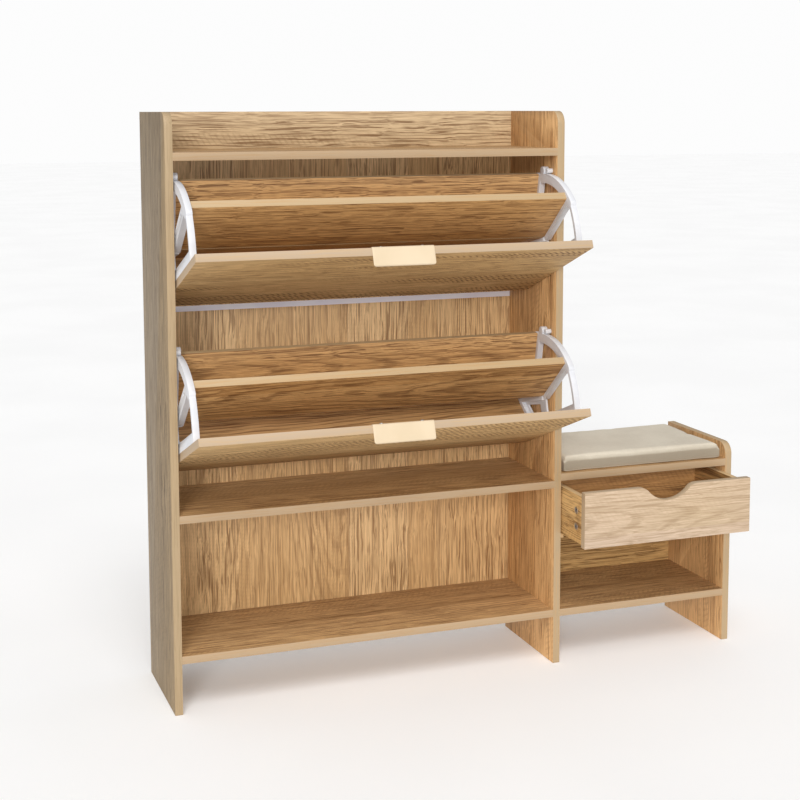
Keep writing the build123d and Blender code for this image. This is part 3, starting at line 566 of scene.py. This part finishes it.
def soften(node, material, edge):
    """A finished piece in a CAD node's shape, with its sharp edges rounded over."""
    piece = to_object(merged_copy(node), f"{node}_finished", material)
    round_edges(piece, edge, EDGE_SEGMENTS, EDGE_ANGLE, harden=True)
    piece.data.shade_smooth()
    apply_modifiers(piece)
    mark_edge_band(piece.data)
    settle(piece, BODY_OF[node], SLOT_OF[node], node)


# ---------------------------------------------------------------- boards and frames

# The left side panel takes the darker copy of the side oak, which is painted shade.
NODE_OAK = {
    "left_side_panel": SHADED_SIDE_OAK, "gallery_board": GALLERY_OAK, "bench_back_panel": BENCH_SHEET,
    "back_panel_upper": BACK_SHEET, "back_panel_lower": BACK_SHEET,
    "drawer_back": DRAWER_BACK_OAK, "drawer_bottom": DRAWER_BACK_OAK,
}
SLOT_OAK = {
    "side_oak": SIDE_OAK, "shelf_oak": SHELF_OAK, "door_oak": DOOR_OAK, "divider_oak": DIVIDER_OAK,
    "drawer_front_oak": DRAWER_FRONT_OAK, "drawer_box_oak": DRAWER_BOX_OAK, "runner_wood": RUNNER_WOOD,
}
PLAIN_FINISHES = {"dowel_beech": BEECH, "white_plastic": WHITE_PLASTIC, "fastener_steel": ZINC}


def make_boards():
    """Boards and back sheets in oak, and the joint strip and side frames in moulded plastic."""
    for node, slot in SLOT_OF.items():
        low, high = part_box(node)
        thin = min(high - low) < THIN_BOARD
        if node in NODE_OAK or slot in SLOT_OAK:
            soften(node, NODE_OAK.get(node) or SLOT_OAK[slot], SHEET_EDGE if thin else BOARD_EDGE)
        elif slot == "joint_strip":
            soften(node, STRIP_PLASTIC, SHEET_EDGE)
        elif node.endswith("_frame"):
            soften(node, WHITE_PLASTIC, FRAME_EDGE)


def finish_plain_nodes():
    """Hidden and turned pieces keep their CAD shape and get their material."""
    for node, slot in SLOT_OF.items():
        item = frame["nodes"][node]
        if slot in PLAIN_FINISHES and not item.hide_render:
            item.data.materials.clear()
            item.data.materials.append(PLAIN_FINISHES[slot])


# ---------------------------------------------------------------- pulls

def closed_box(node, unit):
    """A flip unit's node's lowest and highest corners, in the place that it has when closed."""
    points = np.array([CLOSING[unit] @ vertex.co for vertex in frame["nodes"][node].data.vertices])
    return Vector(points.min(0)), Vector(points.max(0))


def quarter_bend(centre_y, centre_z, start):
    """Points over a quarter turn of the plate, from the angle that it starts at."""
    angles = [start - math.pi / 2 * step / BEND_STEPS for step in range(BEND_STEPS + 1)]
    return [
        (centre_y + PULL_BEND * math.cos(angle), centre_z + PULL_BEND * math.sin(angle)) for angle in angles
    ]


def bent_profile(low, high, lip_foot):
    """A pull's side view, as (Y, Z) up its outer skin from the lip, over the top and down the leg."""
    front = low.y + PULL_BEND
    rear = high.y - PULL_BEND
    centre_z = high.z - PULL_BEND
    points = [(low.y, lip_foot)]
    points += quarter_bend(front, centre_z, math.pi)
    points += [(front + (rear - front) * share, high.z) for share in PULL_TOP_SHARES]
    points += quarter_bend(rear, centre_z, math.pi / 2)
    points.append((high.y, low.z))
    return points


def pull_rows(edit, profile, middle, half):
    """Rows of points across the plate, one for each point of its profile; the lip's ends are round."""
    rows = []
    travelled = 0.0
    last = profile[0]
    for point in profile:
        travelled += math.dist(last, point)
        last = point
        inside = max(0.0, PULL_CORNER - travelled)
        width = half - PULL_CORNER + math.sqrt(max(0.0, PULL_CORNER ** 2 - inside ** 2))
        rows.append([
            edit.verts.new((middle + width * (2 * column / PULL_COLUMNS - 1), point[0], point[1]))
            for column in range(PULL_COLUMNS + 1)
        ])
    return rows


def pull_skin(unit):
    """The outer skin of a pull, bent over the closed door's top edge and then turned to its place."""
    low, high = closed_box(f"{unit}_pull", unit)
    _, door_high = closed_box(f"{unit}_door", unit)
    profile = bent_profile(low, high, door_high.z - PULL_LIP_DROP)
    edit = bmesh.new()
    rows = pull_rows(edit, profile, (low.x + high.x) / 2, (high.x - low.x) / 2)
    for row, following in zip(rows, rows[1:]):
        for column in range(PULL_COLUMNS):
            edit.faces.new((row[column], row[column + 1], following[column + 1], following[column]))
    bmesh.ops.remove_doubles(edit, verts=edit.verts, dist=WELD)
    bmesh.ops.recalc_face_normals(edit, faces=edit.faces)
    top = max(edit.faces, key=lambda face: face.calc_center_median().z)
    if top.normal.z < 0:
        bmesh.ops.reverse_faces(edit, faces=edit.faces)
    edit.transform(CLOSING[unit].inverted())
    return edit


def make_pull(unit):
    """A plate bent over the door's top edge: a rounded lip in front, and a leg behind."""
    piece = to_object(pull_skin(unit), f"{unit}_pull_plate", PULL_CREAM)
    wall = piece.modifiers.new("wall", "SOLIDIFY")
    wall.thickness = PULL_THICK
    wall.offset = -1.0
    wall.use_even_offset = True
    round_edges(piece, PULL_EDGE, 3, PULL_EDGE_ANGLE)
    piece.data.shade_smooth()
    apply_modifiers(piece)
    piece.data.set_sharp_from_angle(angle=PULL_SHARP_ANGLE)
    settle(piece, f"{unit}_flip_unit", "pull_cream", f"{unit}_pull")


# ---------------------------------------------------------------- screws and cam discs

def islands(node, change=None):
    """The separate solids of a CAD node, each as an array of its points, in the same order each run."""
    edit = merged_copy(node)
    left = dict.fromkeys(edit.verts)
    groups = []
    while left:
        start, _ = left.popitem()
        stack = [start]
        group = []
        while stack:
            vertex = stack.pop()
            group.append(tuple(change @ vertex.co) if change else tuple(vertex.co))
            for edge in vertex.link_edges:
                other = edge.other_vert(vertex)
                if other in left:
                    del left[other]
                    stack.append(other)
        groups.append(np.array(group))
    edit.free()
    return groups


def screw_place(points):
    """Where a screw's head sits, which way it faces, and its radius and height."""
    low = points.min(0)
    high = points.max(0)
    middle = (low + high) / 2
    axis = int(np.argmax(high - low))
    others = [i for i in range(3) if i != axis]
    reach = np.abs(points[:, others] - middle[others]).max(1)
    head = points[reach > reach.max() * HEAD_WIDE][:, axis]
    side = 1.0 if head.mean() > middle[axis] else -1.0
    direction = Vector((0, 0, 0))
    direction[axis] = side
    seat = middle.copy()
    seat[axis] = head.min() if side > 0 else head.max()
    return Vector(seat), direction, float(reach.max()), float(np.ptp(head))


def disc_place(points, axis, side):
    """Where a cam disc's inner end sits, which way its face looks, and its radius and height."""
    low = points.min(0)
    high = points.max(0)
    direction = Vector((0, 0, 0))
    direction[axis] = side
    seat = (low + high) / 2
    seat[axis] = low[axis] if side > 0 else high[axis]
    radius = (high[BACKWARDS] - low[BACKWARDS]) / 2
    return Vector(seat), direction, float(radius), float(high[axis] - low[axis])


def raised(tree, shape, height):
    """A shape moved up by a height."""
    moved = add_node(tree, "GeometryNodeTransform", {
        "Geometry": shape, "Translation": combine(tree, 0.0, 0.0, height),
    })
    return moved.outputs[0]


def head_body(tree, radius, height, dome_share):
    """A short round wall under a low cone."""
    dome_height = times(tree, height, dome_share)
    wall_height = minus(tree, height, dome_height)
    wall = add_node(tree, "GeometryNodeMeshCylinder", {
        "Vertices": HEAD_SIDES, "Radius": radius, "Depth": wall_height,
    })
    dome = add_node(tree, "GeometryNodeMeshCone", {
        "Vertices": HEAD_SIDES, "Radius Bottom": radius, "Depth": dome_height,
        "Radius Top": minus(tree, radius, times(tree, dome_height, DOME_LEAN)),
    })
    body = add_node(tree, "GeometryNodeMeshBoolean", operation="UNION", solver="EXACT")
    tree.links.new(raised(tree, wall.outputs["Mesh"], times(tree, wall_height, 0.5)), body.inputs["Mesh 2"])
    tree.links.new(raised(tree, dome.outputs["Mesh"], wall_height), body.inputs["Mesh 2"])
    return body.outputs["Mesh"]


def cross_recess(tree, body, radius, height, span, width):
    """A head with a cross cut into its top."""
    across = times(tree, radius, 2.0)
    long_side = times(tree, across, span)
    short_side = times(tree, across, width)
    deep = times(tree, height, RECESS_DEPTH)
    cut = add_node(tree, "GeometryNodeMeshBoolean", operation="DIFFERENCE", solver="EXACT")
    tree.links.new(body, cut.inputs["Mesh 1"])
    for sides in ((long_side, short_side), (short_side, long_side)):
        bar = add_node(tree, "GeometryNodeMeshCube", {"Size": combine(tree, *sides, deep)})
        tree.links.new(raised(tree, bar.outputs["Mesh"], height), cut.inputs["Mesh 2"])
    return cut.outputs["Mesh"]


def head_turn(tree, seed):
    """Each head's turn: its face out along its direction, and its cross at a random angle."""
    facing = add_node(tree, "GeometryNodeInputNamedAttribute", {"Name": "facing"}, data_type="FLOAT_VECTOR")
    outwards = add_node(tree, "FunctionNodeAlignRotationToVector", {"Vector": facing.outputs[0]}, axis="Z")
    # Inputs 2 and 3 are the random value's least and greatest number.
    spin = add_node(tree, "FunctionNodeRandomValue", {
        2: 0.0, 3: math.pi / 2, "Seed": seed,
    }, data_type="FLOAT")
    twist = add_node(tree, "FunctionNodeAxisAngleToRotation", {"Axis": (0, 0, 1), "Angle": spin.outputs[1]})
    turn = add_node(tree, "FunctionNodeRotateRotation", {
        "Rotation": outwards.outputs[0], "Rotate By": twist.outputs[0],
    }, rotation_space="LOCAL")
    return turn.outputs[0]


def tree_input(tree, name, kind, value=None):
    socket = tree.interface.new_socket(name, in_out="INPUT", socket_type=kind)
    if value is not None:
        socket.default_value = value
    return socket.identifier


def head_tree():
    """A round head with a domed rim and a cross recess, on every point, facing its direction."""
    tree = bpy.data.node_groups.new("round_heads", "GeometryNodeTree")
    tree_input(tree, "Geometry", "NodeSocketGeometry")
    keys = {
        "radius": tree_input(tree, "Head Radius", "NodeSocketFloat", 0.0035),
        "height": tree_input(tree, "Head Height", "NodeSocketFloat", 0.0022),
        "recess": tree_input(tree, "Recess Span", "NodeSocketFloat", RECESS_SPAN),
        "slot": tree_input(tree, "Recess Width", "NodeSocketFloat", RECESS_WIDTH),
        "dome": tree_input(tree, "Dome Share", "NodeSocketFloat", HEAD_DOME),
        "material": tree_input(tree, "Finish", "NodeSocketMaterial"),
        "seed": tree_input(tree, "Turn Seed", "NodeSocketInt", HEAD_SEED),
    }
    tree.interface.new_socket("Geometry", in_out="OUTPUT", socket_type="NodeSocketGeometry")
    given = tree.nodes.new("NodeGroupInput").outputs
    target = tree.nodes.new("NodeGroupOutput")
    radius = given["Head Radius"]
    height = given["Head Height"]
    body = head_body(tree, radius, height, given["Dome Share"])
    head = cross_recess(tree, body, radius, height, given["Recess Span"], given["Recess Width"])
    points = add_node(tree, "GeometryNodeMeshToPoints", {"Mesh": given["Geometry"]})
    heads = add_node(tree, "GeometryNodeInstanceOnPoints", {
        "Points": points.outputs[0], "Instance": head, "Rotation": head_turn(tree, given["Turn Seed"]),
    })
    real = add_node(tree, "GeometryNodeRealizeInstances", {"Geometry": heads.outputs[0]})
    finish = add_node(tree, "GeometryNodeSetMaterial", {
        "Geometry": real.outputs[0], "Material": given["Finish"],
    })
    tree.links.new(finish.outputs[0], target.inputs[0])
    return tree, keys


HEAD_TREE, HEAD_KEYS = head_tree()


def place_heads(name, places, slot=RECESS_WIDTH, dome=HEAD_DOME):
    """One plain mesh of heads, at places that are each (seat, direction, radius, height).

    All heads have the first place's radius and height. Slot is the recess's width as a share of
    the head's, and dome is the cone's share of the height."""
    mesh = bpy.data.meshes.new(name)
    mesh.from_pydata([tuple(place[0]) for place in places], [], [])
    facing = mesh.attributes.new("facing", "FLOAT_VECTOR", "POINT")
    facing.data.foreach_set("vector", [value for place in places for value in place[1]])
    piece = bpy.data.objects.new(name, mesh)
    bpy.context.scene.collection.objects.link(piece)
    heads = piece.modifiers.new("heads", "NODES")
    heads.node_group = HEAD_TREE
    heads[HEAD_KEYS["radius"]] = places[0][2]
    heads[HEAD_KEYS["height"]] = places[0][3]
    heads[HEAD_KEYS["slot"]] = slot
    heads[HEAD_KEYS["dome"]] = dome
    heads[HEAD_KEYS["material"]] = ZINC
    apply_modifiers(piece)
    piece.data.set_sharp_from_angle(angle=HEAD_SHARP_ANGLE)
    return piece


def make_screws():
    """Cross-recessed heads in place of the plain ones; a flip unit's are found when it is closed."""
    for node in SLOT_OF:
        if not node.endswith("_screws"):
            continue
        change = CLOSING.get(node.split("_")[0])
        places = [screw_place(points) for points in islands(node, change)]
        if change:
            back = change.inverted()
            places = [(back @ seat, back.to_3x3() @ facing, radius, height)
                      for seat, facing, radius, height in places]
        settle(place_heads(f"{node}_heads", places), BODY_OF[node], "fastener_steel", node)


def make_cam_discs():
    """Cross-recessed discs: those of the boards look down, and those of the drawer look sideways."""
    boards = [disc_place(points, UPRIGHT, -1.0) for points in islands("cam_locks")]
    low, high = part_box("drawer_front")
    middle = (low[0] + high[0]) / 2
    drawer = [disc_place(points, SIDEWAYS, 1.0 if points.mean(0)[0] > middle else -1.0)
              for points in islands("drawer_cams")]
    for node, places in (("cam_locks", boards), ("drawer_cams", drawer)):
        piece = place_heads(f"{node}_discs", places, DISC_RECESS_WIDTH, DISC_DOME)
        settle(piece, BODY_OF[node], "fastener_steel", node)


# ---------------------------------------------------------------- cushion

def cushion_block(low, high):
    """The cushion before it swells: its box, a little narrower, with well rounded edges."""
    edit = bmesh.new()
    bmesh.ops.create_cube(edit, size=1.0)
    inset = Vector((CUSHION_INSET, CUSHION_INSET, 0))
    size = high - low - 2 * inset
    centre = (low + high) / 2
    edit.transform(Matrix.Translation(centre) @ Matrix.Diagonal((*size, 1.0)))
    foot = [edge for edge in edit.edges if all(vertex.co.z < centre.z for vertex in edge.verts)]
    others = [edge for edge in edit.edges if edge not in foot]
    bmesh.ops.bevel(edit, geom=foot, offset=CUSHION_FOOT_ROUND, segments=2, affect="EDGES", profile=0.5)
    others = [edge for edge in others if edge.is_valid]
    bmesh.ops.bevel(edit, geom=others, offset=CUSHION_ROUND, segments=5, affect="EDGES", profile=0.5)
    return to_object(edit, "seat_cushion_pad", CLOTH)


def even_mesh(piece):
    """Small even faces all over a piece, so that it swells and bends evenly."""
    remesh = piece.modifiers.new("voxels", "REMESH")
    remesh.mode = "VOXEL"
    remesh.voxel_size = CUSHION_VOXEL
    apply_modifiers(piece)


def blown_up(piece):
    """The mesh that a piece has after some frames as a cloth under pressure."""
    cloth = piece.modifiers.new("swelling", "CLOTH")
    cloth.settings.use_pressure = True
    cloth.settings.uniform_pressure_force = CUSHION_PRESSURE
    cloth.settings.effector_weights.gravity = 0.0
    cloth.settings.quality = CUSHION_QUALITY
    scene = bpy.context.scene
    for step in range(1, CUSHION_FRAMES + 1):
        scene.frame_set(step)
    graph = bpy.context.evaluated_depsgraph_get()
    mesh = bpy.data.meshes.new_from_object(piece.evaluated_get(graph), depsgraph=graph)
    piece.modifiers.clear()
    scene.frame_set(1)
    return mesh


def swell(piece, low, high):
    """Blows the pad up, but no point goes further than a cap or outside its box's sides."""
    rest = np.array([vertex.co for vertex in piece.data.vertices])
    mesh = blown_up(piece)
    step = np.array([vertex.co for vertex in mesh.vertices]) - rest
    length = np.linalg.norm(step, axis=1, keepdims=True)
    step *= np.minimum(1.0, CUSHION_CAP / np.maximum(length, 1e-9))
    ceiling = np.array(high) + np.array((0, 0, CUSHION_CAP / 2))
    settled = np.clip(rest + step, np.array(low), ceiling)
    mesh.vertices.foreach_set("co", settled.ravel())
    mesh.update()
    piece.data = mesh


def mark_shaded_sides(mesh):
    """Tells the cloth which points are on the pad's side walls, where it paints shade, from 0 on its top to 1 on
    its sides.
    """
    flat, upright = WALL_SLOPE
    lean = np.array([1 - abs(vertex.normal.z) for vertex in mesh.vertices])
    wall = mesh.attributes.new("side_wall", "FLOAT", "POINT")
    wall.data.foreach_set("value", np.clip((lean - flat) / (upright - flat), 0, 1))


def make_cushion():
    low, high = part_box("seat_cushion")
    pad = cushion_block(low, high)
    even_mesh(pad)
    swell(pad, low, high)
    smooth = pad.modifiers.new("smooth", "SUBSURF")
    smooth.levels = 1
    smooth.render_levels = 1
    apply_modifiers(pad)
    pad.data.shade_smooth()
    mark_shaded_sides(pad.data)
    pad.data.materials.clear()
    pad.data.materials.append(CLOTH)
    settle(pad, "cabinet", "cushion_fabric", "seat_cushion")


# ---------------------------------------------------------------- studio

def make_camera():
    data = bpy.data.cameras.new("studio_camera")
    data.lens = CAMERA_LENS
    data.sensor_width = CAMERA_SENSOR
    data.shift_y = CAMERA_SHIFT
    data.clip_end = CAMERA_REACH
    camera = bpy.data.objects.new("studio_camera", data)
    camera.location = CAMERA_PLACE
    camera.rotation_euler = [math.radians(angle) for angle in CAMERA_TURN]
    bpy.context.scene.collection.objects.link(camera)
    bpy.context.scene.camera = camera


def make_floor():
    """A wide, nearly white floor without gloss, a hair below the cabinet's feet."""
    edit = bmesh.new()
    bmesh.ops.create_grid(edit, x_segments=1, y_segments=1, size=FLOOR_SIZE / 2)
    material, tree = new_material("studio_floor")
    cloud = noise(tree, object_place(tree), scale=1.5)
    base = blend_colours(tree, spread(tree, cloud, 0.3, 0.7), colour(255, 255, 255), colour(252, 252, 252))
    finish_material(tree, base, 0.8, shader={"Specular IOR Level": 0.0})
    floor = to_object(edit, "studio_floor", material)
    floor.location.z = -FLOOR_DROP


def make_sun(name, azimuth, elevation, power, softness, shadow=True):
    """A soft, even light from a direction; azimuth 0 is in front of the cabinet, and right is positive."""
    data = bpy.data.lights.new(name, "SUN")
    data.energy = power * math.pi
    data.angle = math.radians(softness)
    data.use_shadow = shadow
    light = bpy.data.objects.new(name, data)
    turn = math.radians(azimuth)
    rise = math.radians(elevation)
    towards = Vector((math.sin(turn) * math.cos(rise), -math.cos(turn) * math.cos(rise), math.sin(rise)))
    light.location = towards * SUN_DISTANCE
    light.rotation_euler = towards.to_track_quat("Z", "Y").to_euler()
    bpy.context.scene.collection.objects.link(light)


def make_room():
    """An even white room: what it shows is the floor's own tone, and what it gives is weaker."""
    world = bpy.data.worlds.new("studio_world")
    world.use_nodes = True
    tree = world.node_tree
    tree.nodes.clear()
    seen = add_node(tree, "ShaderNodeBackground", {"Color": WHITE, "Strength": ROOM_SEEN})
    given = add_node(tree, "ShaderNodeBackground", {"Color": WHITE, "Strength": ROOM_LIGHT})
    direct = add_node(tree, "ShaderNodeLightPath").outputs["Is Camera Ray"]
    room = add_node(tree, "ShaderNodeMixShader", {"Fac": direct, 1: given.outputs[0], 2: seen.outputs[0]})
    add_node(tree, "ShaderNodeOutputWorld", {"Surface": room.outputs[0]})
    bpy.context.scene.world = world
    bpy.context.scene.view_settings.view_transform = "Standard"


def make_suns():
    make_sun("key_light", azimuth=-12, elevation=54, power=0.36, softness=30)
    make_sun("top_light", azimuth=-12, elevation=80, power=0.11, softness=20, shadow=False)
    make_sun("front_light", azimuth=-25, elevation=17, power=0.42, softness=16)
    make_sun("fill_light", azimuth=-26, elevation=6, power=0.19, softness=20, shadow=False)


make_camera()
make_room()
make_suns()
make_floor()
make_boards()
for unit_name in UNITS:
    make_pull(unit_name)
make_screws()
make_cam_discs()
finish_plain_nodes()
make_cushion()

bpy.context.view_layer.update()
